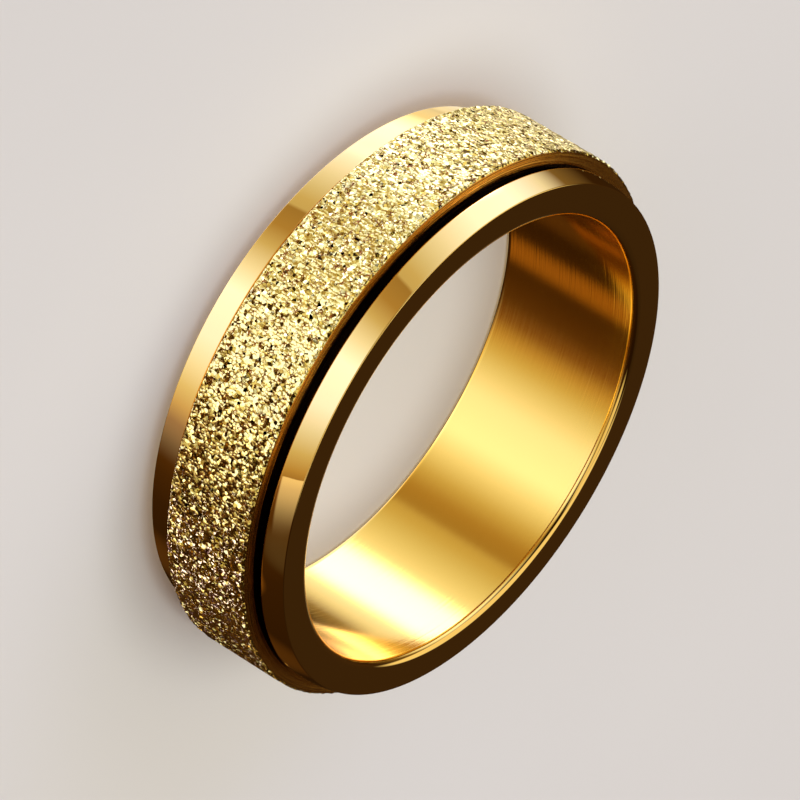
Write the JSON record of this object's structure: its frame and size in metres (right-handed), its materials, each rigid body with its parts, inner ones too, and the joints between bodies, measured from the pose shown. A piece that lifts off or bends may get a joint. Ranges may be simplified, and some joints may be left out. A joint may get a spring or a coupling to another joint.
{
  "type": "spinner ring",
  "caption": "Gold-coloured steel ring with polished bevelled rims and a frosted outer band that turns freely in a channel.",
  "frame": {"origin": "on the finger axis, at the flat face that the ring rests on", "axes": "+Z along the finger axis, up from the face it rests on; the ring lies on its side; it is round, so +X and +Y are any two radii"},
  "size_m": [0.0212, 0.0212, 0.006],
  "materials": {
    "polished_gold": "gold-coloured steel, mirror polished on the rims and satin in the bore",
    "frosted_gold": "gold-coloured steel, coarse frosted outside with smooth side walls"
  },
  "bodies": {
    "base": {"base_ring": "polished_gold"},
    "band": {"spinner_band": "frosted_gold"}
  },
  "joints": [
    {"name": "band_spin", "type": "hinge", "parent": "base", "child": "band", "pos_m": [0, 0, 0.003], "axis": [0, 0, 1], "continuous": true}
  ]
}
